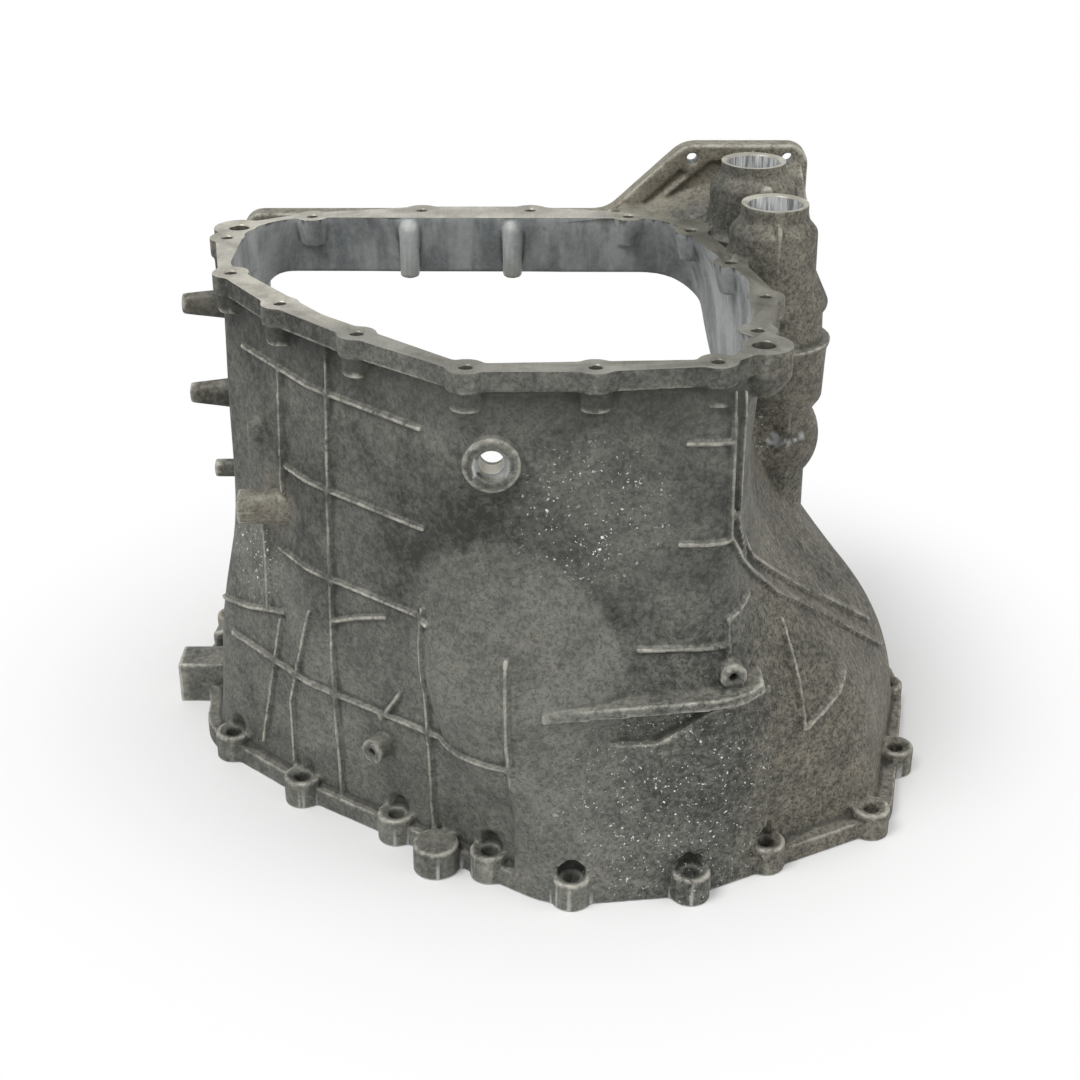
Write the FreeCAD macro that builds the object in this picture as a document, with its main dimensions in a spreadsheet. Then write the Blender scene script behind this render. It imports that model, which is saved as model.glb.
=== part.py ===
import FreeCAD, Part
import math
import os
import re
from FreeCAD import Placement, Rotation, Vector

# A die-cast gearbox housing in one piece, in millimetres.
# It stands on its bell flange at z = 0, with the bell's axis on z and the cover window towards +y.

os.makedirs("parts", exist_ok=True)
doc = FreeCAD.newDocument("gearbox_housing")
sheet = doc.addObject("Spreadsheet::Sheet", "sizes")
rows_used = 0


def dimension(alias, value):
    """Write one driving dimension into the sheet and give its cell a name."""
    global rows_used
    rows_used += 1
    sheet.set("A%d" % rows_used, alias)
    sheet.set("B%d" % rows_used, repr(float(value)))
    sheet.setAlias("B%d" % rows_used, alias)


# Main sizes of the casting
dimension("case_height", 300)
dimension("wall", 6)
dimension("lug_outset", 4.5)
dimension("drum_radius", 217)
dimension("drum_height", 28)
dimension("roof_rise", 42)
dimension("roof_inner_radius", 95)
dimension("partition_bottom", 60)
dimension("partition_top", 68)
dimension("hub_radius", 68)
dimension("hub_bore_radius", 54)
dimension("hub_bottom", 44)
dimension("hub_top", 84)
dimension("hub_rib_thick", 6)

# Bell flange and its lugs
dimension("bell_plate", 11)
dimension("bell_rim", 6)
dimension("lug_radius", 11)
dimension("lug_height", 17)
dimension("lug_hole_radius", 4.5)
dimension("lug_spot_radius", 7.6)
dimension("lug_spot_depth", 1.5)
dimension("lug_scallop", 7)
dimension("lug_arch", 5)
dimension("pad_radius", 13)
dimension("side_lug_width", 25)
dimension("side_lug_height", 27)

# Top flange
dimension("top_plate", 11)
dimension("top_rim", 7)
dimension("lobe_radius", 10.5)
dimension("boss_radius", 8.5)
dimension("boss_depth", 22)
dimension("top_hole_radius", 3.4)
dimension("dowel_radius", 6)
dimension("dowel_boss_radius", 15)
dimension("dowel_wall", 4.5)
dimension("dowel_boss_depth", 26)
dimension("dowel_boss_taper", 10)
dimension("hole_floor", 6)
dimension("inner_lobe_depth", 18)
dimension("inner_column_radius", 6)
dimension("inner_column_drop", 8)

# Cover flange and window on the rear side
dimension("cover_face", 82)
dimension("cover_plate", 12)
dimension("cover_left", 184)
dimension("cover_right", 163)
dimension("cover_bottom", 72)
dimension("plate_step", 2)
dimension("ear_rise", 40.5)
dimension("ear_bolt_rise", 32)
dimension("ear_left", 41)
dimension("ear_slope_end", 87)
dimension("ear_border", 10)
dimension("ear_web", 9)
dimension("window_left", 171)
dimension("window_right", 112)
dimension("window_bottom", 92)
dimension("header", 37)
dimension("window_corner", 14)
dimension("window_big_corner", 48)
dimension("cover_hole_radius", 3.4)
dimension("cover_hole_depth", 16)
dimension("cover_lobe_radius", 9)
dimension("ear_hole_radius", 3.4)
dimension("ear_boss_radius", 9)

# The two upright tubes and the tower that carries them
dimension("tube_radius", 19.2)
dimension("tube_bore_radius", 15.5)
dimension("tube_bore_depth", 62)
dimension("front_tube_x", 133)
dimension("front_tube_y", -17)
dimension("front_tube_rise", 30)
dimension("rear_tube_x", 126.5)
dimension("rear_tube_y", 40)
dimension("rear_tube_rise", 39)
dimension("tube_root_drop", 80)
dimension("neck_radius", 25.2)
dimension("neck_draft", 1.4)
dimension("neck_rise", 15)
dimension("rear_neck_rise", 26)
dimension("neck_taper", 7)
dimension("shoulder_drop", 8)
dimension("tower_radius", 30)
dimension("tower_bottom", 120)
dimension("ring_height", 4)
dimension("upper_ring_drop", 29)
dimension("lower_ring_drop", 55)
dimension("step_drop", 87)
dimension("step_height", 9)
dimension("bulge_drop", 114)
dimension("bulge_radius", 32)
dimension("pocket_radius", 15)
dimension("stud_radius", 4)
dimension("stud_rise", 31)

# Bosses and ribs on the outside
dimension("plug_x", -24)
dimension("plug_z", 250)
dimension("plug_boss_radius", 15)
dimension("plug_face", 201)
dimension("plug_boss_length", 21)
dimension("plug_mouth_radius", 8)
dimension("plug_bore_radius", 6.5)
dimension("rib_height", 3.2)
dimension("rib_thick", 2.6)
dimension("panel_height", 6)
dimension("panel_bottom", 8)
dimension("ledge_height", 13)
dimension("ledge_thick", 6)
dimension("ledge_z", 112)
dimension("dome_x", 2)
dimension("dome_y", -176)
dimension("dome_z", 104)
dimension("dome_height", 102)
dimension("dome_half_width", 60)
dimension("dome_depth", 43)
dimension("side_boss_reach", 209)
dimension("side_boss_root", 10)
dimension("side_boss_tip", 6)
dimension("spigot_radius", 10)
dimension("drain_boss_radius", 7.2)
dimension("small_boss_radius", 7.5)
dimension("tapped_hole_radius", 2.5)

doc.recompute()


def size(alias):
    return float(sheet.get(alias))


def formula(text):
    """Turn words such as case_height into references to the sheet's cells."""
    return re.sub(r"[a-z]+[a-z0-9_]*", lambda word: "sizes." + word.group(0), str(text))


def bind(thing, **formulas):
    """Bind properties of a document object to formulas of the sheet's cells."""
    for name, text in formulas.items():
        thing.setExpression(name, formula(text))
    return thing


def put(thing, x, y, z, turn=None):
    """Place a document object at formulas of the sheet's cells, turned first where it needs it."""
    if turn is not None:
        thing.Placement = Placement(Vector(0, 0, 0), turn)
    for axis, text in (("x", x), ("y", y), ("z", z)):
        thing.setExpression("Placement.Base." + axis, formula(text))
    return thing


def cylinder(name, radius, height, x, y, z, turn=None):
    made = doc.addObject("Part::Cylinder", name)
    bind(made, Radius=radius, Height=height)
    return put(made, x, y, z, turn)


def cone(name, base, tip, height, x, y, z, turn=None):
    made = doc.addObject("Part::Cone", name)
    bind(made, Radius1=base, Radius2=tip, Height=height)
    return put(made, x, y, z, turn)


def box(name, length, width, height, x, y, z, turn=None):
    made = doc.addObject("Part::Box", name)
    bind(made, Length=length, Width=width, Height=height)
    return put(made, x, y, z, turn)


def fuse(name, things):
    made = doc.addObject("Part::MultiFuse", name)
    made.Shapes = things
    return made


def common(name, things):
    made = doc.addObject("Part::MultiCommon", name)
    made.Shapes = things
    return made


def cut(name, base, tool):
    made = doc.addObject("Part::Cut", name)
    made.Base = base
    made.Tool = tool
    return made


TOWARDS_REAR = Rotation(Vector(1, 0, 0), -90)
TOWARDS_LEFT = Rotation(Vector(0, 1, 0), -90)


# The tub's outer skin: corners (x, y, radius) of its section at each level, as shares of the case height.
# The corners run rear right, rear left, left, left front, front left, front right, right front, right.
SECTIONS = (
    (0.0, ((206, 76, 8), (-212, 76, 8), (-202, -64, 40), (-133, -125, 60),
           (8, -222, 40), (82, -213, 40), (198, -152, 30), (230, -10, 120))),
    (0.17, ((198, 76, 8), (-204, 76, 8), (-196, -60, 38), (-132, -126, 60),
            (0, -217, 40), (92, -208, 45), (188, -146, 45), (221, -14, 110))),
    (0.33, ((172, 76, 8), (-196, 76, 8), (-191, -54, 34), (-130, -127, 60),
            (-16, -212, 36), (100, -204, 36), (168, -144, 50), (192, -20, 90))),
    (0.47, ((147, 76, 8), (-186, 76, 8), (-183, -50, 30), (-128, -126, 60),
            (-28, -206, 34), (99, -199, 26), (134, -142, 36), (156, -30, 60))),
    (0.6, ((124, 76, 8), (-184, 76, 8), (-181, -47, 28), (-126, -125, 60),
           (-36, -201, 34), (98, -195, 20), (115, -146, 24), (132, -40, 50))),
    (0.8, ((104, 70, 20), (-183, 72, 22), (-181, -42, 26), (-122, -124, 60),
           (-39, -198, 32), (98, -192, 16), (110, -150, 16), (122, -52, 45))),
    (1.0, ((80, 58, 35), (-181, 60, 45), (-181, -38, 25), (-118, -123, 60),
           (-40, -195, 30), (97, -189, 20), (113, -156, 18), (120, -62, 40))),
)


def moved_corners(corners, inset):
    """Shift each side of a section inwards by inset and return the new corners with their radii."""
    count = len(corners)
    sides = []
    for i in range(count):
        x1, y1, _ = corners[i]
        x2, y2, _ = corners[(i + 1) % count]
        length = math.hypot(x2 - x1, y2 - y1)
        # The corners run anticlockwise seen from above, so the inward normal is on the left.
        nx, ny = -(y2 - y1) / length, (x2 - x1) / length
        sides.append((nx, ny, nx * x1 + ny * y1 + inset))
    moved = []
    for i in range(count):
        ax, ay, a = sides[i - 1]
        bx, by, b = sides[i]
        turn = ax * by - ay * bx
        x = (a * by - ay * b) / turn
        y = (ax * b - a * bx) / turn
        radius = max(corners[i][2] - inset, 1.5)
        moved.append((x, y, radius))
    return moved


def rounded_edges(corners, to_point):
    """Straight sides joined by tangent arcs: one line and one arc for each corner."""
    count = len(corners)
    starts, middles, ends = [], [], []
    for i in range(count):
        px, py, _ = corners[i - 1]
        cx, cy, radius = corners[i]
        nx, ny, _ = corners[(i + 1) % count]
        before = Vector(px - cx, py - cy, 0).normalize()
        after = Vector(nx - cx, ny - cy, 0).normalize()
        half = before.getAngle(after) / 2
        reach = radius / math.tan(half)
        corner = Vector(cx, cy, 0)
        inward = (before + after).normalize()
        centre = corner + inward * (radius / math.sin(half))
        starts.append(corner + before * reach)
        middles.append(centre - inward * radius)
        ends.append(corner + after * reach)
    edges = []
    for i in range(count):
        arc = Part.Arc(to_point(starts[i]), to_point(middles[i]), to_point(ends[i]))
        edges.append(arc.toShape())
        edges.append(Part.LineSegment(to_point(ends[i]), to_point(starts[(i + 1) % count])).toShape())
    return edges


def flat_wire(corners, z):
    return Part.Wire(rounded_edges(corners, lambda p: Vector(p.x, p.y, z)))


def upright_wire(corners, y):
    return Part.Wire(rounded_edges(corners, lambda p: Vector(p.x, y, p.y)))


def skin(name, inset, below=0.0, above=0.0):
    """The tub's skin moved inwards by inset, as a smooth loft through its sections."""
    wires = []
    for level, corners in SECTIONS:
        z = level * size("case_height")
        if level == 0.0:
            z -= below
        if level == 1.0:
            z += above
        wires.append(flat_wire(moved_corners(corners, inset), z))
    made = doc.addObject("Part::Feature", name)
    made.Shape = Part.makeLoft(wires, True, False)
    return made


def shape_feature(name, shape):
    made = doc.addObject("Part::Feature", name)
    made.Shape = shape
    return made


# Tub: the gear chamber's outer form
tub = skin("tub", 0.0)

# Drum: the low round chamber of the bell behind the tub, with a sloping roof
drum_wall = cylinder("drum_wall", "drum_radius", "drum_height", 0, 0, 0)
drum_roof = cone("drum_roof", "drum_radius", "roof_inner_radius", "roof_rise", 0, 0, "drum_height")
drum_rim = cylinder("drum_rim", "drum_radius + bell_rim", "bell_plate", 0, 0, 0)
rear_half = box("rear_half", 600, 300, 300, -300, 20, 0)
drum = common("drum", [fuse("drum_forms", [drum_wall, drum_roof, drum_rim]), rear_half])

# Bell flange: a low rim round the foot of tub and drum
foot_corners = moved_corners(SECTIONS[0][1], -size("bell_rim"))
foot = shape_feature("foot", Part.Face(flat_wire(foot_corners, 0)))
foot_rim = doc.addObject("Part::Extrusion", "foot_rim")
foot_rim.Base = foot
foot_rim.DirMode = "Custom"
foot_rim.Dir = Vector(0, 0, 1)
foot_rim.Solid = True
bind(foot_rim, LengthFwd="bell_plate")

# Bell lugs: bolt centres on the flange, those of the front half as they stand on the left-front flat
LUG_CENTRES = (
    (-188, -78), (-140, -126), (-82, -163), (-28, -198), (17, -221.5), (82, -217),
    (126, -190), (190, -158), (215, -95), (221.5, -22),
)
REAR_LUG_ANGLES = (17, 42, 66, 90, 114, 138, 162)
lugs = []
lug_holes = []
lug_backs = []


def lug(number, x, y):
    """One bolt lug: a boss on the rim with a through hole, under an arched scallop in the wall."""
    lugs.append(cylinder("lug_%d" % number, "lug_radius", "lug_height", x, y, 0))
    lug_holes.append(cylinder("lug_hole_%d" % number, "lug_hole_radius", "lug_height * 2", x, y, "-lug_height"))
    lug_holes.append(cylinder("lug_spot_%d" % number, "lug_spot_radius", "lug_scallop", x, y,
                              "lug_height - lug_spot_depth"))
    lug_holes.append(cone("lug_arch_%d" % number, "lug_spot_radius", "lug_spot_radius - lug_arch", "lug_arch",
                          x, y, "lug_height - lug_spot_depth + lug_scallop"))
    lug_backs.append(cylinder("lug_back_%d" % number, "lug_spot_radius + wall - 1",
                              "lug_height + lug_scallop + lug_arch", x, y, 0))


for number, (x, y) in enumerate(LUG_CENTRES):
    lug(number + 1, x, y)
for number, angle in enumerate(REAR_LUG_ANGLES):
    cosine = "%.6f" % math.cos(math.radians(angle))
    sine = "%.6f" % math.sin(math.radians(angle))
    lug(number + 11, "(drum_radius + lug_outset) * " + cosine, "(drum_radius + lug_outset) * " + sine)
side_lug = box("side_lug", "drum_radius + lug_outset + lug_radius - 196", "side_lug_width", "side_lug_height",
               "-drum_radius - lug_outset - lug_radius", -18, 0)
front_pad = cylinder("front_pad", "pad_radius", "lug_height", -58, -192, 0)

# Tower: the stack of round forms beside the tub that carries the tubes
tower_x = "front_tube_x + 3"
tower_y = "front_tube_y + 7"
TOWER_STAGES = (
    # name, radius at its foot and at its top, drop of its foot and of its top below the top face
    ("tower_shoulder", "tower_radius + 2", "neck_radius - 3", "upper_ring_drop", "shoulder_drop"),
    ("upper_ring", "tower_radius + 1", "tower_radius + 2", "upper_ring_drop + ring_height", "upper_ring_drop"),
    ("tower_middle", "tower_radius", "tower_radius - 1", "lower_ring_drop", "upper_ring_drop"),
    ("lower_ring", "tower_radius + 4", "tower_radius + 5", "lower_ring_drop", "lower_ring_drop - ring_height"),
    ("tower_drum", "tower_radius + 2", "tower_radius + 3", "step_drop", "lower_ring_drop"),
    ("tower_step", "tower_radius - 4", "tower_radius + 2", "step_drop + step_height", "step_drop"),
    ("tower_foot", "tower_radius - 5", "tower_radius - 6", "case_height - tower_bottom", "step_drop"),
)
tower = []
for name, foot_radius, top_radius, foot_drop, top_drop in TOWER_STAGES:
    tower.append(cone(name, foot_radius, top_radius, "(%s) - (%s)" % (foot_drop, top_drop), tower_x, tower_y,
                      "case_height - (%s)" % foot_drop))
tower_bulge = doc.addObject("Part::Sphere", "tower_bulge")
bind(tower_bulge, Radius="bulge_radius")
tower.append(put(tower_bulge, tower_x, tower_y, "case_height - bulge_drop"))
tower += [
    box("tower_core", 42, 80, "case_height - shoulder_drop - tower_bottom - 1", 105, "front_tube_y - 22",
        "tower_bottom"),
    cylinder("tower_rear", "tower_radius - 1", "case_height - shoulder_drop - tower_bottom - 2", "rear_tube_x + 3",
             "rear_tube_y - 12", "tower_bottom"),
    cylinder("stud", "stud_radius", "tube_root_drop + stud_rise", "front_tube_x - 2", "front_tube_y + 29",
             "case_height - tube_root_drop"),
    box("tube_rib", "rib_thick", 14, "front_tube_rise - 3", "front_tube_x - 1", "front_tube_y - neck_radius - 1.5",
        "case_height - 4"),
]
for name, rise in (("front", "neck_rise"), ("rear", "rear_neck_rise")):
    x, y = name + "_tube_x", name + "_tube_y"
    tower.append(cone(name + "_neck", "neck_radius + neck_draft", "neck_radius", "tube_root_drop + " + rise,
                      x, y, "case_height - tube_root_drop"))
    tower.append(cone(name + "_neck_top", "neck_radius", "tube_radius", "neck_taper",
                      x, y, "case_height + " + rise))
    tower.append(cylinder(name + "_tube", "tube_radius", "tube_root_drop + " + name + "_tube_rise", x, y,
                          "case_height - tube_root_drop"))

# Shoulder: the slope that rises from the top flange's outer edge to the tubes and the cover flange
shoulder_along = Vector(0.78, -0.626, 0)
shoulder_rise = Vector(0.567, 0.706, 0.423)
shoulder_up = shoulder_along.cross(shoulder_rise)
shoulder_slab = doc.addObject("Part::Box", "shoulder_slab")
shoulder_slab.Length = 150
shoulder_slab.Width = 98
shoulder_slab.Height = 50
shoulder_foot = Vector(60, 65.5, size("case_height"))
shoulder_slab.Placement = Placement(shoulder_foot - shoulder_along * 12 - shoulder_rise * 8 - shoulder_up * 50,
                                    Rotation(shoulder_along, shoulder_rise, shoulder_up, "XYZ"))
shoulder = common("shoulder", [shoulder_slab, box("shoulder_room", 108, 88, 90, 51, -14, "case_height - 45")])
tower.append(shoulder)

# Cover flange: the upright plate on the rear side, with an ear that rises beside the tubes
ear_top = size("case_height") + size("ear_rise")
plate_top = size("case_height") - size("plate_step")
window_top = size("case_height") - size("header")
plate_corners = [
    (-size("cover_left"), size("cover_bottom"), 16),
    (size("cover_right"), size("cover_bottom"), 16),
    (size("cover_right"), ear_top, 12),
    (size("ear_slope_end"), ear_top, 20),
    (size("ear_left"), plate_top, 20),
    (-size("cover_left"), plate_top, 12),
]
plate_front = size("cover_face") - size("cover_plate")
plate = shape_feature("plate", Part.Face(upright_wire(plate_corners, plate_front)))
cover_flange = doc.addObject("Part::Extrusion", "cover_flange")
cover_flange.Base = plate
cover_flange.DirMode = "Custom"
cover_flange.Dir = Vector(0, 1, 0)
cover_flange.Solid = True
bind(cover_flange, LengthFwd="cover_plate")

# Ear of the cover flange: bosses at its two bolts, and a recess in its front face inside a raised border
EAR_HOLES = (92.6, 150.7)
ear_bosses = []
for number, x in enumerate(EAR_HOLES):
    ear_bosses.append(cylinder("ear_boss_%d" % (number + 1), "ear_boss_radius", "cover_plate", x,
                               "cover_face - cover_plate", "case_height + ear_bolt_rise", TOWARDS_REAR))
ear_corners = [
    (size("cover_right"), window_top, 14),
    (size("cover_right"), ear_top, 12),
    (size("ear_slope_end"), ear_top, 20),
    (size("ear_left"), plate_top, 20),
    (size("ear_left"), window_top, 14),
]
recess_face = shape_feature("recess_face", Part.Face(upright_wire(moved_corners(ear_corners, size("ear_border")),
                                                                  plate_front)))
recess_block = doc.addObject("Part::Extrusion", "recess_block")
recess_block.Base = recess_face
recess_block.DirMode = "Custom"
recess_block.Dir = Vector(0, 1, 0)
recess_block.Solid = True
bind(recess_block, LengthFwd="cover_plate - ear_web")
ear_rib = box("ear_rib", 120, 20, "rib_thick", 40, "cover_face - cover_plate", 277, Rotation(Vector(0, 1, 0), -40))

# Ribs: thin slabs through the skin, trimmed where the skin is moved out by the rib height
rib_slabs = []
LEVEL_RIBS = (
    # left end, right end, height
    (-168, -60, 260), (-142, -60, 205), (-150, -60, 152), (-186, -14, 79),
    (72, 97, 258), (70, 97, 203), (50, 97, 145),
)
for number, (left, right, z) in enumerate(LEVEL_RIBS):
    slab = box("level_rib_%d" % (number + 1), right - left, 200, "rib_thick", left, -240, z)
    rib_slabs.append(slab)
LONG_RIBS = (
    # compass heading of the wall's outward side in degrees, then the points that the rib joins on the wall
    (228, (-114, -136, 287), (-115, -138, 6)),
    (232, (-61, -180, 160), (-60, -176, 8)),
    (250, (-14, -206, 148), (-13, -210, 8)),
    (218, (-147, -103, 110), (-157, -100, 66), (-168, -96, 20)),
    (222, (-128, -126, 128), (-145, -114, 61), (-148, -117, 12)),
    (300, (96, -190, 286), (99, -193, 206), (107, -181, 188), (117, -168, 172), (136, -152, 149),
     (172, -111, 112), (208, -46, 62)),
    (320, (97, -191, 222), (120, -162, 178), (158, -120, 136), (200, -50, 80)),
    (312, (103, -186, 284), (105, -188, 210), (113, -176, 186)),
    (310, (136, -157, 140), (145, -172, 78)),
    (320, (172, -135, 97), (147, -171, 79)),
    (216, (-142, -97, 262), (-140, -99, 190)),
    (210, (-190, -52, 97), (-172, -78, 103), (-147, -106, 115)),
    (205, (-163, -84, 166), (-158, -94, 110)),
    (233, (-89, -159, 76), (-77, -168, 98)),
    (230, (-113, -138, 128), (-100, -149, 136), (-82, -162, 144)),
    (300, (98, -196, 128), (98, -195, 160), (114, -176, 164)),
)


def rib_slab(name, start, end, heading):
    """A slab along the line from start to end that stands square to the wall."""
    start, end = Vector(*start), Vector(*end)
    along = end - start
    outward = Vector(math.cos(math.radians(heading)), math.sin(math.radians(heading)), 0)
    across = outward.cross(along).normalize()
    outward = along.cross(across).normalize()
    slab = doc.addObject("Part::Box", name)
    slab.Length = along.Length + 1
    slab.Height = 40
    bind(slab, Width="rib_thick")
    corner = start - across * (size("rib_thick") / 2) - outward * 24
    slab.Placement = Placement(corner, Rotation(along, across, outward, "XYZ"))
    return slab


for number, (heading, *points) in enumerate(LONG_RIBS):
    for step in range(len(points) - 1):
        name = "long_rib_%d_%d" % (number + 1, step + 1)
        rib_slabs.append(rib_slab(name, points[step], points[step + 1], heading))

# Dome: the round bulge in the middle of the front wall, leaning to the left at its top, hollow like the rest
dome_lean = Rotation(Vector(0, 1, 0), -18)


def dome_form(name, growth):
    made = doc.addObject("Part::Ellipsoid", name)
    bind(made, Radius1="dome_height" + growth, Radius2="dome_half_width" + growth, Radius3="dome_depth" + growth)
    return put(made, "dome_x", "dome_y", "dome_z", dome_lean)


dome = dome_form("dome", "")
dome_space = dome_form("dome_space", " - wall")

# Ribs on tub and dome: the slabs end where the skin is moved out by the rib height
rib_skin = fuse("rib_skins", [skin("rib_skin", -size("rib_height")), dome_form("rib_dome", " + rib_height")])
ribs = common("ribs", [rib_skin, fuse("slabs", rib_slabs)])

# Raised panel low on the front wall, under a ledge with a shallow recess between them
panel_face = shape_feature("panel_face", Part.Face(Part.makePolygon([Vector(x, -280, z) for x, z in (
    (-14, size("panel_bottom")), (126, size("panel_bottom")), (124, 114), (92, 114), (62, 95), (22, 95),
    (3, 108), (-14, 108), (-14, size("panel_bottom")))])))
panel_block = doc.addObject("Part::Extrusion", "panel_block")
panel_block.Base = panel_face
panel_block.DirMode = "Custom"
panel_block.Dir = Vector(0, 1, 0)
panel_block.LengthFwd = 160
panel_block.Solid = True
panel = common("panel", [skin("panel_skin", -size("panel_height")), panel_block])
ledge_slab = box("ledge_slab", 118, 160, "ledge_thick", 1, -280, "ledge_z", Rotation(Vector(0, 1, 0), -3))
ledge = common("ledge", [skin("ledge_skin", -size("ledge_height")), ledge_slab])

# Plug boss on the front wall, side bosses on the left wall
plug_boss = cylinder("plug_boss", "plug_boss_radius", "plug_boss_length", "plug_x", "-plug_face", "plug_z",
                     TOWARDS_REAR)
side_bosses = [
    cone("side_boss_1", "side_boss_root", "side_boss_tip", "side_boss_reach - 172", -172, -8, 267, TOWARDS_LEFT),
    cone("side_boss_2", "side_boss_root", "side_boss_tip", "side_boss_reach - 176", -176, -8, 211, TOWARDS_LEFT),
    cylinder("side_nub", 5.5, 20, -176, -20, 167, TOWARDS_LEFT),
    cylinder("side_spigot", "spigot_radius", 44, -126, -97, 178, TOWARDS_LEFT),
]
side_dome = doc.addObject("Part::Sphere", "side_dome")
side_dome.Radius = 8
side_bosses.append(put(side_dome, -158, -74, 216))

# Two drilled bosses on the front wall, square to it
drain_turn = Rotation(Vector(0, 0, 1), Vector(-0.6, -0.8, 0))
drain_boss = cylinder("drain_boss", "drain_boss_radius", 29, -77, -145, 60, drain_turn)
drain_hole = cylinder("drain_hole", "tapped_hole_radius", 40, -77, -145, 60, drain_turn)
small_turn = Rotation(Vector(0, 0, 1), Vector(0.2, -0.98, 0))
small_boss = cylinder("small_boss", "small_boss_radius", 22, 97, -184, 131, small_turn)
small_hole = cylinder("small_hole", "tapped_hole_radius", 40, 99, -194, 131, small_turn)

# Top flange: rim, lobes and bosses at the bolts that hold the mating case
TOP_BOLTS = (
    (-184, 15), (-172, -50), (-138, -101), (-93, -147), (-36, -193.5), (27, -193.5), (87, -186),
    (111, -142), (121, -90), (108, -32), (90, 29), (54, 58), (-6, 71), (-73, 71), (-139, 58),
)
DOWELS = ((-180, 35), (112, -163))
rim_path = [(x, y) for x, y in TOP_BOLTS[:7]] + [DOWELS[1]] + [(x, y) for x, y in TOP_BOLTS[7:]] + [DOWELS[0]]
rim_points = [Vector(x, y, size("case_height")) for x, y in rim_path]
rim_wire = shape_feature("rim_wire", Part.makePolygon(rim_points + [rim_points[0]]))
rim_outline = doc.addObject("Part::Offset2D", "rim_outline")
rim_outline.Source = rim_wire
rim_outline.Fill = False
bind(rim_outline, Value="top_rim")
top_rim = doc.addObject("Part::Extrusion", "top_rim_band")
top_rim.Base = rim_outline
top_rim.DirMode = "Custom"
top_rim.Dir = Vector(0, 0, -1)
top_rim.Solid = True
bind(top_rim, LengthFwd="top_plate")

lobes = []
top_holes = []
for number, (x, y) in enumerate(TOP_BOLTS):
    lobes.append(cylinder("lobe_%d" % (number + 1), "lobe_radius", "top_plate",
                          x, y, "case_height - top_plate"))
    lobes.append(cylinder("boss_%d" % (number + 1), "boss_radius", "boss_depth",
                          x, y, "case_height - boss_depth"))
    top_holes.append(cylinder("top_hole_%d" % (number + 1), "top_hole_radius", "boss_depth", x, y,
                              "case_height - boss_depth + hole_floor"))
for number, (x, y) in enumerate(DOWELS):
    lobes.append(cylinder("dowel_boss_%d" % (number + 1), "dowel_boss_radius", "dowel_boss_depth - dowel_boss_taper",
                          x, y, "case_height - dowel_boss_depth + dowel_boss_taper"))
    lobes.append(cone("dowel_tip_%d" % (number + 1), "dowel_boss_radius / 2", "dowel_boss_radius", "dowel_boss_taper",
                      x, y, "case_height - dowel_boss_depth"))
    top_holes.append(cylinder("dowel_%d" % (number + 1), "dowel_radius", "dowel_boss_depth", x, y,
                              "case_height - dowel_boss_depth + hole_floor"))

# Bolt lobes of the cover flange
COVER_BOLTS = (
    (-177, 96), (-177, 160), (-177, 224), (-150, window_top + 20), (-80, window_top + 20), (-10, window_top + 20),
    (60, window_top + 20), (150, 250), (150, 196), (150, 142), (150, 92), (95, 80), (30, 80), (-35, 80), (-100, 80),
)
cover_lobes = []
cover_holes = []
for number, (x, z) in enumerate(COVER_BOLTS):
    cover_lobes.append(cylinder("cover_lobe_%d" % (number + 1), "cover_lobe_radius", "cover_plate", x,
                                "cover_face - cover_plate", z, TOWARDS_REAR))
    cover_holes.append(cylinder("cover_hole_%d" % (number + 1), "cover_hole_radius", "cover_hole_depth", x,
                                "cover_face - cover_hole_depth + 2", z, TOWARDS_REAR))
for number, x in enumerate(EAR_HOLES):
    cover_holes.append(cylinder("ear_hole_%d" % (number + 1), "ear_hole_radius", "cover_plate * 3", x,
                                "cover_face - cover_plate * 2", "case_height + ear_bolt_rise", TOWARDS_REAR))

# Outer form of the whole casting
form = fuse("form", [tub, drum, foot_rim, side_lug, front_pad, cover_flange, ribs, panel, ledge, dome,
                     plug_boss, drain_boss, small_boss, top_rim] + tower + lugs + side_bosses + lobes
            + cover_lobes)

# Gear chamber: the skin moved in by the wall, from the partition up, less the columns at the rear bolts
chamber_skin = fuse("chamber_skins", [skin("chamber_skin", size("wall"), 2.0, 2.0), dome_space])
chamber_block = box("chamber_block", 600, 600, "case_height - partition_top + 4", -300, -300, "partition_top")
columns = []
for number, x in enumerate((-80, -17)):
    columns.append(cylinder("column_%d" % (number + 1), "inner_column_radius", "header - inner_column_drop", x, 54,
                            "case_height - header"))
    column_end = doc.addObject("Part::Sphere", "column_end_%d" % (number + 1))
    bind(column_end, Radius="inner_column_radius")
    columns.append(put(column_end, x, 54, "case_height - inner_column_drop"))
inner_lobes = []
for number, (x, y) in enumerate(TOP_BOLTS):
    inner_lobes.append(cone("inner_lobe_%d" % (number + 1), "lobe_radius * 0.6", "lobe_radius", "inner_lobe_depth",
                            x, y, "case_height - inner_lobe_depth"))
for number, (x, y) in enumerate(DOWELS):
    inner_lobes.append(cylinder("dowel_lobe_%d" % (number + 1), "dowel_radius + dowel_wall", "dowel_boss_depth", x, y,
                                "case_height - dowel_boss_depth"))
hub_above = cylinder("hub_above", "hub_radius", "hub_top - partition_top", 0, 0, "partition_top")
chamber = cut("chamber", common("chamber_space", [chamber_skin, chamber_block]),
              fuse("inner_forms", columns + inner_lobes + [hub_above, plug_boss]))

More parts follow.
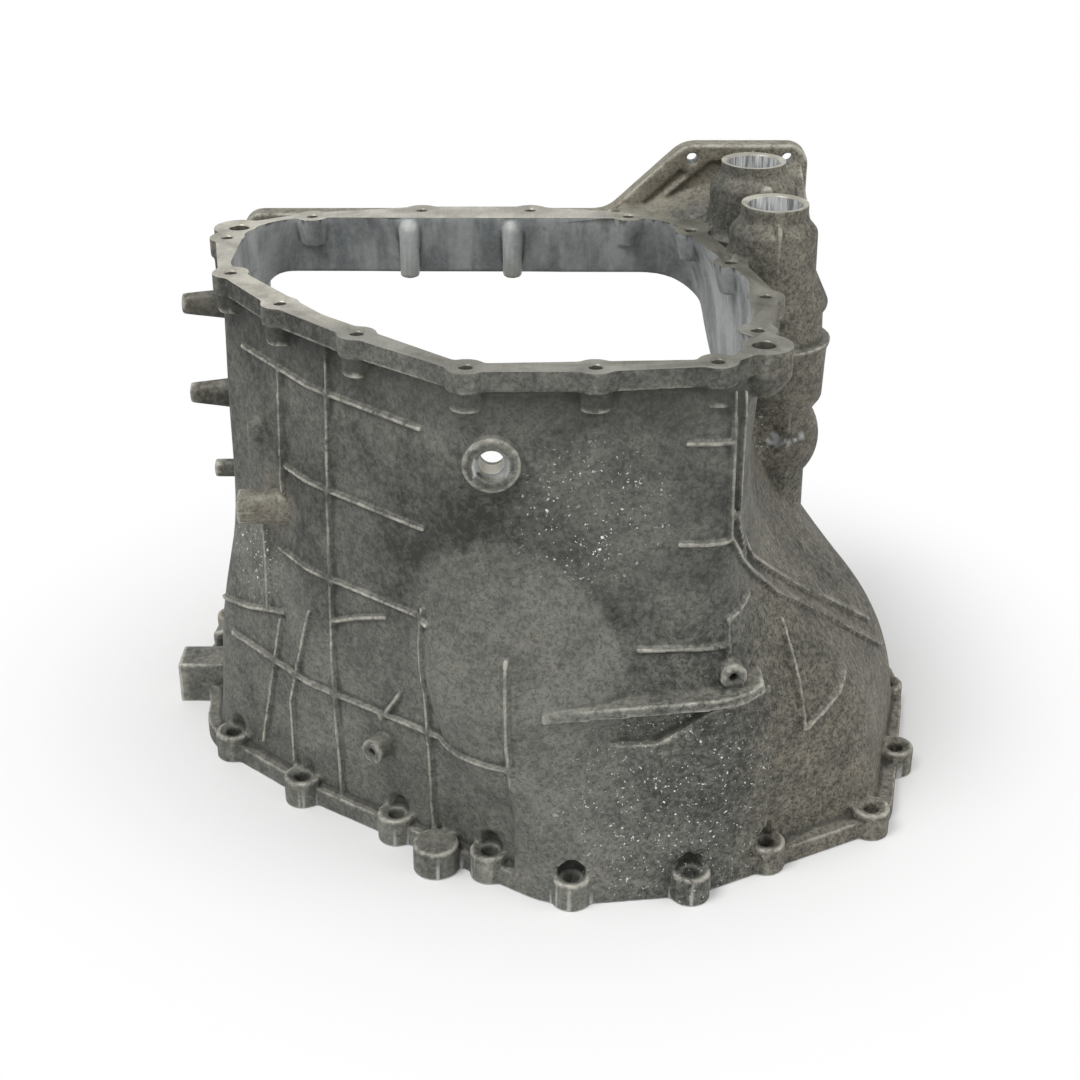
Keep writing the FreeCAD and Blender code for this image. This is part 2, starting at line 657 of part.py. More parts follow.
# Bell chamber: the skin and the drum moved in by the wall, up to the partition, less the hub and its ribs
bell_skin = fuse("bell_skins", [skin("bell_skin", size("wall"), 2.0, 2.0), dome_space])
bell_block = box("bell_block", 600, 600, "partition_bottom + 2", -300, -300, -2)
drum_space = cylinder("drum_space", "drum_radius - wall", "drum_height - wall + 2", 0, 0, -2)
roof_space = cone("roof_space", "drum_radius - wall", "roof_inner_radius - wall", "roof_rise", 0, 0,
                  "drum_height - wall")
rear_space = common("rear_space", [fuse("drum_spaces", [drum_space, roof_space]),
                                   box("rear_block", 600, 300, 300, -300, 20, -2)])
bell_space = common("bell_space", [fuse("bell_spaces", [bell_skin, rear_space]), bell_block])
hub_below = cylinder("hub_below", "hub_radius", "partition_bottom - hub_bottom", 0, 0, "hub_bottom")
hub_ribs = []
for number in range(6):
    turn = Rotation(Vector(0, 0, 1), 60 * number + 10)
    rib = doc.addObject("Part::Box", "hub_rib_%d" % (number + 1))
    bind(rib, Length=220, Width="hub_rib_thick", Height="partition_bottom - hub_bottom")
    put(rib, 0, 0, "hub_bottom + 4", turn)
    hub_ribs.append(rib)
bell_chamber = cut("bell_chamber", bell_space, fuse("hub_forms", [hub_below] + hub_ribs + lug_backs))
hub_bore = cylinder("hub_bore", "hub_bore_radius", "hub_top", 0, 0, "hub_bottom / 2")

# Window of the cover flange, cut through the plate and the rear wall
window_corners = [
    (-size("window_left"), size("window_bottom"), size("window_corner")),
    (size("window_right"), size("window_bottom"), size("window_corner")),
    (size("window_right"), window_top, size("window_big_corner")),
    (-size("window_left"), window_top, size("window_corner")),
]
window_face = shape_feature("window_face", Part.Face(upright_wire(window_corners, size("cover_face") - 30)))
window = doc.addObject("Part::Extrusion", "window")
window.Base = window_face
window.DirMode = "Custom"
window.Dir = Vector(0, 1, 0)
window.LengthFwd = 40
window.Solid = True

# Tube bores, plug bore
bores = [
    cylinder("front_bore", "tube_bore_radius", "tube_bore_depth + 5", "front_tube_x", "front_tube_y",
             "case_height + front_tube_rise - tube_bore_depth"),
    cylinder("rear_bore", "tube_bore_radius", "tube_bore_depth + 5", "rear_tube_x", "rear_tube_y",
             "case_height + rear_tube_rise - tube_bore_depth"),
    cylinder("plug_mouth", "plug_mouth_radius", 10, "plug_x", "-plug_face - 6", "plug_z", TOWARDS_REAR),
    cylinder("plug_bore", "plug_bore_radius", 60, "plug_x", "-plug_face - 6", "plug_z", TOWARDS_REAR),
]

pocket = doc.addObject("Part::Sphere", "tower_pocket")
bind(pocket, Radius="pocket_radius")
put(pocket, "front_tube_x + 2", "front_tube_y - 34", "case_height - bulge_drop + 11")
recess = cut("recess", recess_block, fuse("recess_forms", ear_bosses + [ear_rib] + tower))

casting = cut("housing_casting", form,
              fuse("spaces", [chamber, bell_chamber, hub_bore, window, drain_hole, small_hole, pocket, recess]
                   + bores + cover_holes + lug_holes + top_holes))
casting.Label = "housing_casting"
doc.recompute()

for thing in doc.Objects:
    if "Invalid" in thing.State or "Error" in thing.State:
        raise RuntimeError("%s failed: %s" % (thing.Name, thing.State))
for part in (casting,):
    shape = part.Shape
    if shape.isNull() or not shape.isValid():
        raise RuntimeError("%s has no valid shape" % part.Label)
    print(part.Label, len(shape.Solids), "solid", len(shape.Faces), "faces", round(shape.Volume / 1000), "cm3",
          [round(v, 1) for v in (shape.BoundBox.XMin, shape.BoundBox.XMax, shape.BoundBox.YMin,
                                 shape.BoundBox.YMax, shape.BoundBox.ZMin, shape.BoundBox.ZMax)])
    part.Shape.exportStep("parts/%s.step" % part.Label)
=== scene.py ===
import math
import bmesh
import bpy
import numpy as np
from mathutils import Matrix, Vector
from mathutils.bvhtree import BVHTree
from mathutils.kdtree import KDTree


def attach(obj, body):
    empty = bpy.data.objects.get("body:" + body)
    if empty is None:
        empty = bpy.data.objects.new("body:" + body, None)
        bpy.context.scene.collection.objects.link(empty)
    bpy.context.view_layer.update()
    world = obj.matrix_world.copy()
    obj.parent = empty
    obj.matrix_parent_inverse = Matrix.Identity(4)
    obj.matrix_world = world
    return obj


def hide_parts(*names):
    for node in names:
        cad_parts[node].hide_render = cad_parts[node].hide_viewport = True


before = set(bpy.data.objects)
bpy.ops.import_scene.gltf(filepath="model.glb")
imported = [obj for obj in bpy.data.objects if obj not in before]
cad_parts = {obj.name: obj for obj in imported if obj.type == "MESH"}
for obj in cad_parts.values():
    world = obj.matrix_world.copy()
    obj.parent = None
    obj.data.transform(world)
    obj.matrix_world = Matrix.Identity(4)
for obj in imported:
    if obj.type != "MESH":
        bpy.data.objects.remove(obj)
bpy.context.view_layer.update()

# The casting as it leaves the die: one piece of light alloy, poured into a steel mould, with every
# corner rounded and a fillet at the foot of each rib and boss.
# It starts from the CAD solid, whose faces that get milled first receive a milling allowance.
milling_allowance = 0.002
fillet_grain = 0.0011
fillet_rounds = 9
most_triangles = 150000
flat_enough = 1e-5
square_enough = 0.99
milled_planes = [
    # axis, side that it faces, level in metres
    (2, 1, 0.300),
    (2, -1, 0.0),
    (1, 1, 0.082),
    (2, 1, 0.330),
    (2, 1, 0.339),
]

solid_form = bmesh.new()
solid_form.from_mesh(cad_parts["housing_casting"].data)
bmesh.ops.remove_doubles(solid_form, verts=solid_form.verts, dist=2e-6)
solid_form.normal_update()


def milled_faces(form, axis, side, level):
    """The CAD faces that lie in one milled plane and look outwards from it."""
    return [face for face in form.faces
            if face.normal[axis] * side > square_enough
            and all(abs(v.co[axis] - level) < flat_enough for v in face.verts)]


for axis, side, level in milled_planes:
    for v in {v for face in milled_faces(solid_form, axis, side, level) for v in face.verts}:
        v.co[axis] += side * milling_allowance
poured = bpy.data.meshes.new("housing_cast")
solid_form.to_mesh(poured)
solid_form.free()


def as_plain_mesh(piece, name):
    """The piece's mesh with its modifiers worked in, and the modifiers gone."""
    shown = piece.evaluated_get(bpy.context.evaluated_depsgraph_get())
    mesh = bpy.data.meshes.new_from_object(shown)
    mesh.name = name
    piece.modifiers.clear()
    piece.data = mesh
    return mesh


casting = bpy.data.objects.new("housing_casting_skin", poured)
bpy.context.scene.collection.objects.link(casting)
remesh = casting.modifiers.new("fillets", "REMESH")
remesh.mode = "VOXEL"
remesh.voxel_size = fillet_grain
soften = casting.modifiers.new("softening", "SMOOTH")
soften.factor = 0.5
soften.iterations = fillet_rounds
dense = as_plain_mesh(casting, "housing_cast")

# Wear and painted shade on the casting: handling rubs its edges bright, and its corners are darkened with
# painted shade. Both follow how far each point stands out from the skin around it.
relief_reach = 5
relief_spread = 0.5
strong_relief_percent = 95
count = len(dense.vertices)
points = np.empty(count * 3)
dense.vertices.foreach_get("co", points)
points = points.reshape(-1, 3)
normals = np.empty(count * 3)
dense.vertices.foreach_get("normal", normals)
normals = normals.reshape(-1, 3)
ends = np.empty(len(dense.edges) * 2, np.int32)
dense.edges.foreach_get("vertices", ends)
first, second = ends.reshape(-1, 2).T
neighbours = np.bincount(first, minlength=count) + np.bincount(second, minlength=count)


def mean_of_neighbours(values):
    total = np.bincount(first, values[second], count) + np.bincount(second, values[first], count)
    return total / np.maximum(neighbours, 1)


around = np.stack([mean_of_neighbours(points[:, axis]) for axis in range(3)], axis=1)
standing_out = ((points - around) * normals).sum(axis=1) / fillet_grain
for _ in range(relief_reach):
    standing_out = (1 - relief_spread) * standing_out + relief_spread * mean_of_neighbours(standing_out)
standing_out /= np.percentile(np.abs(standing_out), strong_relief_percent)

thin = casting.modifiers.new("thinning", "DECIMATE")
thin.ratio = min(1.0, most_triangles / (2 * len(dense.polygons)))
as_plain_mesh(casting, "housing_thinned")

# Milled faces: the flanges and the ends of the tubes are cut flat after casting, so their edges are
# crisp and their metal is bare.
top_level = 0.300
necks = [((0.133, -0.017), 0.0266), ((0.1265, 0.040), 0.0266)]
# The mill's way over the top flange, seen from above, in metres
top_way = [(-0.200, 0.084), (-0.200, -0.020), (-0.189, -0.060), (-0.152, -0.115), (-0.104, -0.160),
           (-0.045, -0.210), (0.036, -0.210), (0.098, -0.203), (0.132, -0.174), (0.136, -0.088),
           (0.122, -0.030), (0.112, 0.022), (0.098, 0.038), (0.062, 0.067), (0.037, 0.072), (0.036, 0.084)]
straight_ways = [
    # lowest and highest corner of what the mill clears away, in metres
    ((-0.24, -0.24, -0.01), (0.24, 0.24, 0.0)),
    ((-0.20, 0.082, 0.0715), (0.17, 0.09, 0.35)),
    ((0.110, -0.040, 0.330), (0.156, 0.006, 0.336)),
    ((0.104, 0.0195, 0.339), (0.149, 0.0605, 0.345)),
]


def prism(outline, low, high):
    """A closed upright block over an outline."""
    form = bmesh.new()
    foot = form.faces.new([form.verts.new((x, y, low)) for x, y in outline])
    raised = bmesh.ops.extrude_face_region(form, geom=[foot])
    for v in raised["geom"]:
        if isinstance(v, bmesh.types.BMVert):
            v.co.z = high
    bmesh.ops.recalc_face_normals(form, faces=form.faces)
    mesh = bpy.data.meshes.new("mill_path")
    form.to_mesh(mesh)
    form.free()
    return mesh


def turned(profile, place, axis, segments=48):
    """A closed round body: profile gives radius and distance along the axis from place, in order."""
    axis = Vector(axis).normalized()
    side = axis.orthogonal().normalized()
    other = axis.cross(side)
    form = bmesh.new()
    rings = []
    for radius, along in profile:
        ring = []
        for step in range(segments):
            angle = math.tau * step / segments
            ring.append(form.verts.new(Vector(place) + axis * along
                                       + (side * math.cos(angle) + other * math.sin(angle)) * radius))
        rings.append(ring)
    for lower, upper in zip(rings, rings[1:]):
        for step in range(segments):
            after = (step + 1) % segments
            form.faces.new((lower[step], lower[after], upper[after], upper[step]))
    form.faces.new(rings[0])
    form.faces.new(rings[-1])
    bmesh.ops.recalc_face_normals(form, faces=form.faces)
    mesh = bpy.data.meshes.new("tool")
    form.to_mesh(mesh)
    form.free()
    return mesh


def cut_away(piece, tool):
    """Takes the tool's space out of the piece; the new faces keep the tool's material slot."""
    mill = bpy.data.objects.new("mill", tool)
    bpy.context.scene.collection.objects.link(mill)
    cut = piece.modifiers.new("milling", "BOOLEAN")
    cut.operation = "DIFFERENCE"
    cut.solver = "MANIFOLD"
    cut.object = mill
    as_plain_mesh(piece, piece.data.name)
    bpy.data.objects.remove(mill)


cast_skin = bpy.data.materials.new("cast_skin")
milled_metal = bpy.data.materials.new("milled_metal")
drilled_metal = bpy.data.materials.new("drilled_metal")
metals = [cast_skin, milled_metal, drilled_metal]
for metal in metals:
    casting.data.materials.append(metal)


def leave_metal_bare(tool, drilled_from=None):
    """The faces that the tool leaves take the milled metal, or the drilled one from a face number on."""
    tool.materials.clear()
    for metal in metals:
        tool.materials.append(metal)
    for face in tool.polygons:
        face.material_index = 1 if drilled_from is None or face.index < drilled_from else 2
    return tool


top_mill = bpy.data.objects.new("top_mill", prism(top_way, top_level, top_level + 0.006))
bpy.context.scene.collection.objects.link(top_mill)
for centre, radius in necks:
    cut_away(top_mill, turned([(radius, -0.01), (radius, 0.02)], (*centre, top_level), (0, 0, 1)))
cut_away(casting, leave_metal_bare(top_mill.data))
bpy.data.objects.remove(top_mill)
for low, high in straight_ways:
    outline = [(low[0], low[1]), (high[0], low[1]), (high[0], high[1]), (low[0], high[1])]
    cut_away(casting, leave_metal_bare(prism(outline, low[2], high[2])))

# Drilled holes and bores: bolt, dowel and oil plug holes and the two tube bores, drilled after casting
# and broken at their mouths with a small bright chamfer. Their walls carry painted shade in the small holes
# and painted light in the oil plug's hole.
DOWN = (0, 0, -1)
REARWARD = (0, 1, 0)
top_bolts = [(-0.184, 0.015), (-0.172, -0.050), (-0.138, -0.101), (-0.093, -0.147), (-0.036, -0.1935),
             (0.027, -0.1935), (0.087, -0.186), (0.111, -0.142), (0.121, -0.090), (0.108, -0.032),
             (0.090, 0.029), (0.054, 0.058), (-0.006, 0.071), (-0.073, 0.071), (-0.139, 0.058)]
dowel_holes = [(-0.180, 0.035), (0.112, -0.163)]
drillings = [
    # mouth, way of the drill, radius, depth, chamfer
    ((0.133, -0.017, 0.330), DOWN, 0.0155, 0.062, 0.0012),
    ((0.1265, 0.040, 0.339), DOWN, 0.0155, 0.062, 0.0012),
    ((-0.024, -0.201, 0.250), REARWARD, 0.0065, 0.017, 0.0015),
    ((0.0926, 0.070, 0.332), REARWARD, 0.0034, 0.020, 0.0),
    ((0.1507, 0.070, 0.332), REARWARD, 0.0034, 0.020, 0.0),
]
drillings += [((x, y, top_level), DOWN, 0.0034, 0.016, 0.0009) for x, y in top_bolts]
drillings += [((x, y, top_level), DOWN, 0.0060, 0.020, 0.0010) for x, y in dowel_holes]
run_out = 0.004
around_hole = 48
for mouth, way, radius, depth, chamfer in drillings:
    profile = [(radius + chamfer, -run_out), (radius + chamfer, 0.0), (radius, chamfer), (radius, depth)]
    if chamfer == 0.0:
        profile = [(radius, -run_out), (radius, depth)]
    drilled_out = turned(profile, mouth, way, around_hole)
    cut_away(casting, leave_metal_bare(drilled_out, around_hole * (len(profile) - 2)))

# Edges of the finished casting: milled edges and narrow corners stay sharp in the shading.
sharp_corner = math.radians(46)
finished = casting.data
finished.polygons.foreach_set("use_smooth", [True] * len(finished.polygons))
finished.set_sharp_from_angle(angle=sharp_corner)

# Which side a point lies on, how far it stands out (for edge wear and painted corner shade) and how far it
# looks upwards (for a painted highlight): all three are kept on the mesh for the finishes below. A point
# below the top flange's face is inside if the straight way from it to the middle of the chamber is free.
spots = KDTree(count)
for number, point in enumerate(points):
    spots.insert(point, number)
spots.balance()
shell = BVHTree.FromPolygons([v.co for v in finished.vertices], [p.vertices for p in finished.polygons])
wear_and_shade = np.empty(len(finished.vertices))
inside = np.empty(len(finished.vertices))
upward = np.empty(len(finished.vertices))
chamber_middles = [(-0.03, -0.06), (-0.09, -0.01), (0.04, -0.09)]
chamber_top = 0.285
off_the_wall = 0.0012
for v in finished.vertices:
    wear_and_shade[v.index] = standing_out[spots.find(v.co)[1]]
    upward[v.index] = v.normal.z
    start = v.co + v.normal * off_the_wall
    inside[v.index] = 0.0
    for x, y in chamber_middles if v.co.z < top_level else []:
        sight = Vector((x, y, min(start.z, chamber_top))) - start
        if shell.ray_cast(start, sight.normalized(), sight.length)[0] is None:
            inside[v.index] = 1.0
            break
for name, values in (("wear_and_shade", wear_and_shade), ("inside", inside), ("upward", upward)):
    finished.attributes.new(name, "FLOAT", "POINT").data.foreach_set("value", values)

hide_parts("housing_casting")
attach(casting, "root")


class Field:
    """A value that varies over the metal: a node's output, so that sums are written as Python's."""

    def __init__(self, finish, socket):
        self.finish = finish
        self.socket = socket

    def _sum(self, operation, first, second):
        return self.finish.node("ShaderNodeMath", {"operation": operation}, {0: first, 1: second})

    def __add__(self, other):
        return self._sum("ADD", self, other)

    __radd__ = __add__

    def __mul__(self, other):
        return self._sum("MULTIPLY", self, other)

    __rmul__ = __mul__

    def __sub__(self, other):
        return self._sum("SUBTRACT", self, other)

    def __rsub__(self, other):
        return self._sum("SUBTRACT", other, self)

    def clipped(self):
        return self.finish.node("ShaderNodeClamp", {}, {0: self})

    def between(self, low, high):
        """0 at low and 1 at high, with a soft start and end."""
        return self.finish.node("ShaderNodeMapRange", {"interpolation_type": "SMOOTHSTEP"},
                                {"Value": self, "From Min": low, "From Max": high})


class Finish:
    """A material's nodes, and the one method that adds to them."""

    def __init__(self, material, metallic):
        material.use_nodes = True
        self.nodes = material.node_tree.nodes
        self.links = material.node_tree.links
        self.nodes.clear()
        self.output = self.nodes.new("ShaderNodeOutputMaterial")
        self.shader = self.nodes.new("ShaderNodeBsdfPrincipled")
        self.shader.inputs["Metallic"].default_value = metallic
        self.links.new(self.shader.outputs[0], self.output.inputs["Surface"])
        self.place = self.node("ShaderNodeTexCoord", {}, {}, "Object")

    def node(self, kind, settings, inputs, result=0):
        """Adds a node: its settings first, then what its sockets take: numbers, colours or other fields."""
        made = self.nodes.new(kind)
        for name, value in settings.items():
            setattr(made, name, value)
        for name, value in inputs.items():
            self.feed(made.inputs[name], value)
        return Field(self, made.outputs[result])

    def feed(self, socket, value):
        if isinstance(value, Field):
            self.links.new(value.socket, socket)
        elif isinstance(value, tuple) and len(value) == 3 and socket.type == "RGBA":
            socket.default_value = (*value, 1)
        else:
            socket.default_value = value

    def grain(self, size, detail=2.0, roughness=0.5, distortion=0.0, stretch=(1, 1, 1)):
        """Cloudy noise with patches of about the given size in metres, from 0 to 1."""
        at = self.node("ShaderNodeMapping", {}, {"Vector": self.place, "Scale": stretch})
        return self.node("ShaderNodeTexNoise", {"noise_dimensions": "3D"},
                         {"Vector": at, "Scale": 1 / size, "Detail": detail, "Roughness": roughness,
                          "Distortion": distortion})

    def blend(self, share, low, high):
        """A colour between two others."""
        return self.node("ShaderNodeMix", {"data_type": "RGBA"}, {"Factor": share, 6: low, 7: high}, 2)

    def finish(self, colour, roughness, height, depth):
        """Joins colour, roughness and height to the shader; depth is the height's range in metres."""
        self.feed(self.shader.inputs["Base Color"], colour)
        self.feed(self.shader.inputs["Roughness"], roughness)
        bump = self.node("ShaderNodeBump", {}, {"Strength": 1.0, "Distance": depth, "Height": height})
        self.feed(self.shader.inputs["Normal"], bump)


# Cast skin: weathered alloy, dull dark grey with a fine dark speckle, smeared with old oil, rubbed pale
# along its ribs and edges, brownish at the tower, the cover flange and the side bosses, and pricked with
# bright nicks where it was scraped. Over this lie painted highlights on upward faces, the spigot, its pad
# and the front bulge, painted shade in corners, under the top flange and around the bulge, and a paler
# painted light inside the chamber.
skin = Finish(cast_skin, 0.25)
skin.shader.inputs["Specular IOR Level"].default_value = 0.25
relief = skin.node("ShaderNodeAttribute", {"attribute_name": "wear_and_shade"}, {}, "Fac")
within = skin.node("ShaderNodeAttribute", {"attribute_name": "inside"}, {}, "Fac")
facing_up = skin.node("ShaderNodeAttribute", {"attribute_name": "upward"}, {}, "Fac")
at_x = skin.node("ShaderNodeSeparateXYZ", {}, {"Vector": skin.place}, "X")
at_y = skin.node("ShaderNodeSeparateXYZ", {}, {"Vector": skin.place}, "Y")
at_z = skin.node("ShaderNodeSeparateXYZ", {}, {"Vector": skin.place}, "Z")
mottle = skin.grain(0.0040, 5.0, 0.74, 0.5)
speckle = skin.grain(0.0019, 3.0, 0.7, 0.4)
smears = skin.grain(0.070, 6.0, 0.62, 0.6)
stains = skin.grain(0.020, 5.0, 0.65, 0.5)
scatter = skin.grain(0.0021, 2.0, 0.6, 0.2)
streaks = skin.grain(0.016, 4.0, 0.6, 0.3, (1.0, 1.0, 0.22))
right_side = at_x.between(0.095, 0.130)
left_side = (0 - at_x).between(0.050, 0.100) * at_z.between(0.12, 0.18)
boss_side = (0 - at_x).between(0.182, 0.196) * at_z.between(0.14, 0.16)
rear_side = at_y.between(0.050, 0.066) * (1 - within)


def near(centre, reach):
    """1 at a place on the casting, falling to 0 at the reach from it."""
    away = skin.node("ShaderNodeVectorMath", {"operation": "DISTANCE"}, {0: skin.place, 1: centre}, "Value")
    return 1 - away.between(reach * 0.35, reach)


# Painted highlight on the spigot at the left and the pad under it, and a brown stain on the spigot.
spigot_highlight_and_stain = near((-0.157, -0.100, 0.180), 0.030) * (1 - within)
pad_highlight = near((-0.172, -0.075, 0.140), 0.040) * (1 - within)
warmth = right_side * 0.8 + boss_side + rear_side + spigot_highlight_and_stain * 0.8 + stains.between(0.52, 0.75) * 0.4
warmth = warmth.clipped()

# Painted light and shade on the round bulge in the middle of the front wall: its face is painted paler, and
# the hollow around its top painted darker.
dome_x = (at_x + 0.010) * 0.951 + (at_z - 0.120) * 0.309
dome_z = (at_z - 0.120) * 0.951 - (at_x + 0.010) * 0.309
dome_round = (dome_x * dome_x) * (1 / 0.058 ** 2) + (dome_z * dome_z) * (1 / 0.088 ** 2)
front_side = (0 - at_y).between(0.150, 0.170) * (1 - within)
dome_painted_light = (1 - dome_round.between(0.80, 1.06)) * at_z.between(0.06, 0.13) * front_side
dome_painted_shade = dome_round.between(0.95, 1.15) * (1 - dome_round.between(1.2, 2.6))
dome_painted_shade = dome_painted_shade * at_z.between(0.13, 0.17) * front_side

scraped = (near((0.026, -0.203, 0.222), 0.052) + near((0.075, -0.215, 0.055), 0.085)
           + near((0.132, -0.045, 0.197), 0.024) * 0.6 + near((-0.172, -0.075, 0.140), 0.045)
           + near((0.130, 0.060, 0.300), 0.060) * 0.5)
nick_share = (scraped * 0.9 + stains.between(0.6, 0.8) * 0.25).clipped()
nicks = scatter.between(0.66, 0.69) * nick_share * (1 - within)
dark_grey = (0.040, 0.041, 0.036)
mid_grey = (0.218, 0.220, 0.196)
warm_grey = (0.262, 0.238, 0.186)
inner_lit_dark = (0.200, 0.212, 0.214)
inner_lit_pale = (0.520, 0.540, 0.535)
oil_brown = (0.085, 0.074, 0.055)
pale_wear_and_highlight = (0.480, 0.468, 0.405)
bright_nick = (0.92, 0.92, 0.88)
low_right = (at_x.between(0.02, 0.08) * (1 - at_z.between(0.12, 0.20)) + right_side * 0.6).clipped()
tone = mottle.between(0.34, 0.66) * (0.40 + 0.25 * low_right) + smears.between(0.32, 0.68) * 0.38
tone = tone + stains.between(0.30, 0.70) * 0.24 - low_right * 0.12
upper_walls = at_z.between(0.14, 0.22) * (1 - right_side) * (1 - rear_side)
tone = tone + right_side * 0.06 + rear_side * 0.32 - upper_walls * 0.08 - left_side * 0.13
tone = tone + dome_painted_light * 0.24 - dome_painted_shade * 0.22 + spigot_highlight_and_stain * 0.45 + pad_highlight * 0.30
tone = tone + (1 - at_z.between(0.06, 0.14)) * (1 - low_right) * 0.10
tone = tone.clipped() * (1 - speckle.between(0.50, 0.60) * (0.45 + 0.25 * low_right))
colour = skin.blend(tone, dark_grey, skin.blend(warmth, mid_grey, warm_grey))
# Painted shadow: the outer wall just under the top flange's overhang is darkened, except at the right.
flange_shadow = at_z.between(0.252, 0.286) * (1 - at_z.between(0.288, 0.291)) * (1 - within)
colour = skin.blend(flange_shadow * (1 - right_side) * 0.55, colour, dark_grey)
# Painted light: inside the chamber the skin is painted paler than outside, standing in for the light that
# reaches in, with streaks and oil stains.
inner_tone = streaks.between(0.34, 0.66) * 0.75 + mottle.between(0.30, 0.70) * 0.3 + smears * 0.15
inner_colour = skin.blend(inner_tone.clipped(), inner_lit_dark, inner_lit_pale)
inner_colour = skin.blend(stains.between(0.60, 0.72) * 0.5, inner_colour, oil_brown)
colour = skin.blend(within, colour, inner_colour)
# Pale edges: partly real wear rubbed along ribs and edges, partly a painted highlight on faces that look
# upwards.
patchiness = mottle.between(0.30, 0.65) * 0.55 + stains.between(0.35, 0.65) * 0.45
wear_and_top_highlight = (relief.between(0.55, 1.40) * patchiness + facing_up.between(0.50, 0.90) * 0.32 * patchiness).clipped()
colour = skin.blend(wear_and_top_highlight, colour, pale_wear_and_highlight)
# Painted shade: concave corners and the feet of ribs and bosses are darkened, less so on the cover flange.
corner_shade = (0 - relief).between(0.40, 1.15) * (0.75 - 0.35 * rear_side)
colour = skin.blend(corner_shade, colour, dark_grey)
colour = skin.blend(nicks, colour, bright_nick)
roughness = (0.66 - 0.08 * tone - 0.14 * wear_and_top_highlight - 0.3 * nicks).clipped()
skin.finish(colour, roughness, mottle * 0.6 + stains * 0.4 + speckle * 0.25 + nicks * 0.4, 0.0004)

# Milled metal: the flange faces and tube ends, cut and since dulled, with fine cutter lines and a few grey
# stains.
# A painted reflection makes them creamy at the left and the rear and olive grey along the front and the
# right.
mill = Finish(milled_metal, 0.35)
lines = mill.grain(0.0011, 1.0, stretch=(1.0, 0.12, 1.0))
dulling = mill.grain(0.022, 4.0, 0.6, 0.5)
mill_x = mill.node("ShaderNodeSeparateXYZ", {}, {"Vector": mill.place}, "X")
mill_y = mill.node("ShaderNodeSeparateXYZ", {}, {"Vector": mill.place}, "Y")
mill_z = mill.node("ShaderNodeSeparateXYZ", {}, {"Vector": mill.place}, "Z")
right_reflection_falloff = mill_x.between(0.04, 0.10) * (1 - mill_z.between(0.302, 0.306))
reflection_falloff = ((0 - mill_y).between(0.100, 0.150) * 0.9 + right_reflection_falloff).clipped()
dull_metal = mill.blend(reflection_falloff, (0.250, 0.240, 0.205), (0.120, 0.117, 0.098))
bright_metal = mill.blend(reflection_falloff, (0.600, 0.575, 0.490), (0.270, 0.264, 0.225))
shade = (dulling.between(0.3, 0.7) * 0.7 + lines * 0.4).clipped()
mill.finish(mill.blend(shade, dull_metal, bright_metal), 0.46 - 0.14 * shade, lines, 0.00006)

# Drilled metal: painted shade makes the bolt and dowel holes dark, the two tube bores are brighter and
# streaked, and painted light makes the oil plug's hole bright.
drill = Finish(drilled_metal, 0.35)
drill_y = drill.node("ShaderNodeSeparateXYZ", {}, {"Vector": drill.place}, "Y")
drill_z = drill.node("ShaderNodeSeparateXYZ", {}, {"Vector": drill.place}, "Z")
scores = drill.grain(0.0028, 3.0, 0.7, stretch=(1.0, 1.0, 0.08))
in_tubes = drill_z.between(0.300, 0.303)
plug_painted_light = (0 - drill_y).between(0.175, 0.180) * (1 - drill_z.between(0.262, 0.268))
hole_shade = drill.blend(scores, (0.035, 0.032, 0.026), (0.090, 0.082, 0.066))
streaked = drill.blend(scores.between(0.35, 0.65), (0.110, 0.118, 0.120), (0.520, 0.530, 0.520))
walls = drill.blend(plug_painted_light, drill.blend(in_tubes, hole_shade, streaked), (0.800, 0.780, 0.700))
drill.finish(walls, 0.50 - 0.15 * scores, scores, 0.00008)

# Floor, light and camera: a plain pale floor under a white studio sky, with one wide lamp above the
# front left and a weaker one at the right.
floor_mesh = bpy.data.meshes.new("floor")
floor_reach = 6.0
floor_level = -0.0003
corners = [(x * floor_reach, y * floor_reach, floor_level) for x, y in ((-1, -1), (1, -1), (1, 1), (-1, 1))]
floor_mesh.from_pydata(corners, [], [(0, 1, 2, 3)])
floor = bpy.data.objects.new("floor", floor_mesh)
bpy.context.scene.collection.objects.link(floor)
paper = bpy.data.materials.new("paper_floor")
floor_mesh.materials.append(paper)
paper_finish = Finish(paper, 0.0)
paper_finish.feed(paper_finish.shader.inputs["Base Color"], (0.92, 0.92, 0.92))
paper_finish.feed(paper_finish.shader.inputs["Roughness"], 0.9)
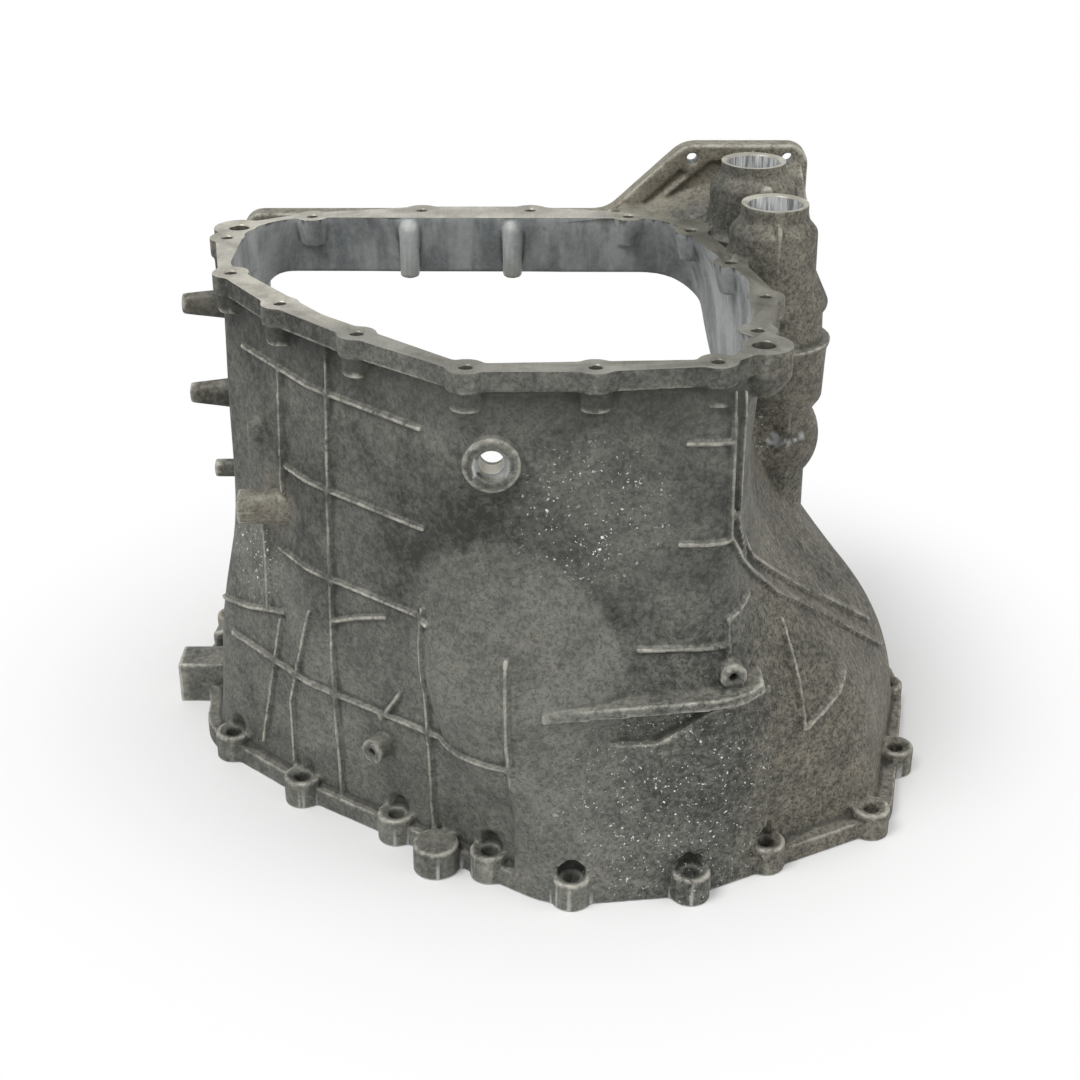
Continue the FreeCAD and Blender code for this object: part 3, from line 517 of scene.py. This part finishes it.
# Seen by the camera, the paper fades to plain white away from the casting and its shadow.
white = paper_finish.nodes.new("ShaderNodeEmission")
away = paper_finish.node("ShaderNodeVectorMath", {"operation": "LENGTH"}, {0: paper_finish.place}, "Value")
by_camera = paper_finish.node("ShaderNodeLightPath", {}, {}, "Is Camera Ray")
fade = paper_finish.nodes.new("ShaderNodeMixShader")
paper_finish.feed(fade.inputs[0], by_camera * away.between(0.20, 0.42))
paper_finish.links.new(paper_finish.shader.outputs[0], fade.inputs[1])
paper_finish.links.new(white.outputs[0], fade.inputs[2])
paper_finish.links.new(fade.outputs[0], paper_finish.output.inputs["Surface"])

world = bpy.data.worlds.new("studio")
bpy.context.scene.world = world
world.use_nodes = True
sky_nodes = world.node_tree.nodes
sky_links = world.node_tree.links
sky_nodes.clear()
ray = sky_nodes.new("ShaderNodeLightPath")
seen = sky_nodes.new("ShaderNodeMath")
seen.operation = "MAXIMUM"
sky_links.new(ray.outputs["Is Camera Ray"], seen.inputs[0])
sky_links.new(ray.outputs["Is Glossy Ray"], seen.inputs[1])
light_of_sky = 0.72
white_of_sky = 1.0
strength = sky_nodes.new("ShaderNodeMapRange")
strength.inputs["To Min"].default_value = light_of_sky
strength.inputs["To Max"].default_value = white_of_sky
sky_links.new(seen.outputs[0], strength.inputs["Value"])
sky = sky_nodes.new("ShaderNodeBackground")
sky_links.new(strength.outputs[0], sky.inputs["Strength"])
sky_out = sky_nodes.new("ShaderNodeOutputWorld")
sky_links.new(sky.outputs[0], sky_out.inputs["Surface"])


def studio_lamp(name, place, size, watts):
    lamp = bpy.data.lights.new(name, "AREA")
    lamp.shape = "DISK"
    lamp.size = size
    lamp.energy = watts
    lamp_object = bpy.data.objects.new(name, lamp)
    lamp_object.location = place
    lamp_object.rotation_euler = (Vector((0, 0, 0.15)) - Vector(place)).to_track_quat("-Z", "Y").to_euler()
    bpy.context.scene.collection.objects.link(lamp_object)


studio_lamp("key_lamp", (-0.9, -1.0, 2.2), 1.2, 32)
studio_lamp("fill_lamp", (1.6, -0.6, 1.2), 1.4, 7)

view_distance = 1.0
view_height = 0.615
view_pitch = math.radians(26.9)
focal_pixels = 1780
photo_pixels = 1080
camera = bpy.data.cameras.new("camera")
camera.sensor_width = 36
camera.lens = 36 * focal_pixels / photo_pixels
camera_object = bpy.data.objects.new("camera", camera)
camera_object.location = (0, -view_distance, view_height)
camera_object.rotation_euler = (math.pi / 2 - view_pitch, 0, 0)
bpy.context.scene.collection.objects.link(camera_object)
bpy.context.scene.camera = camera_object
bpy.context.scene.view_settings.view_transform = "Standard"
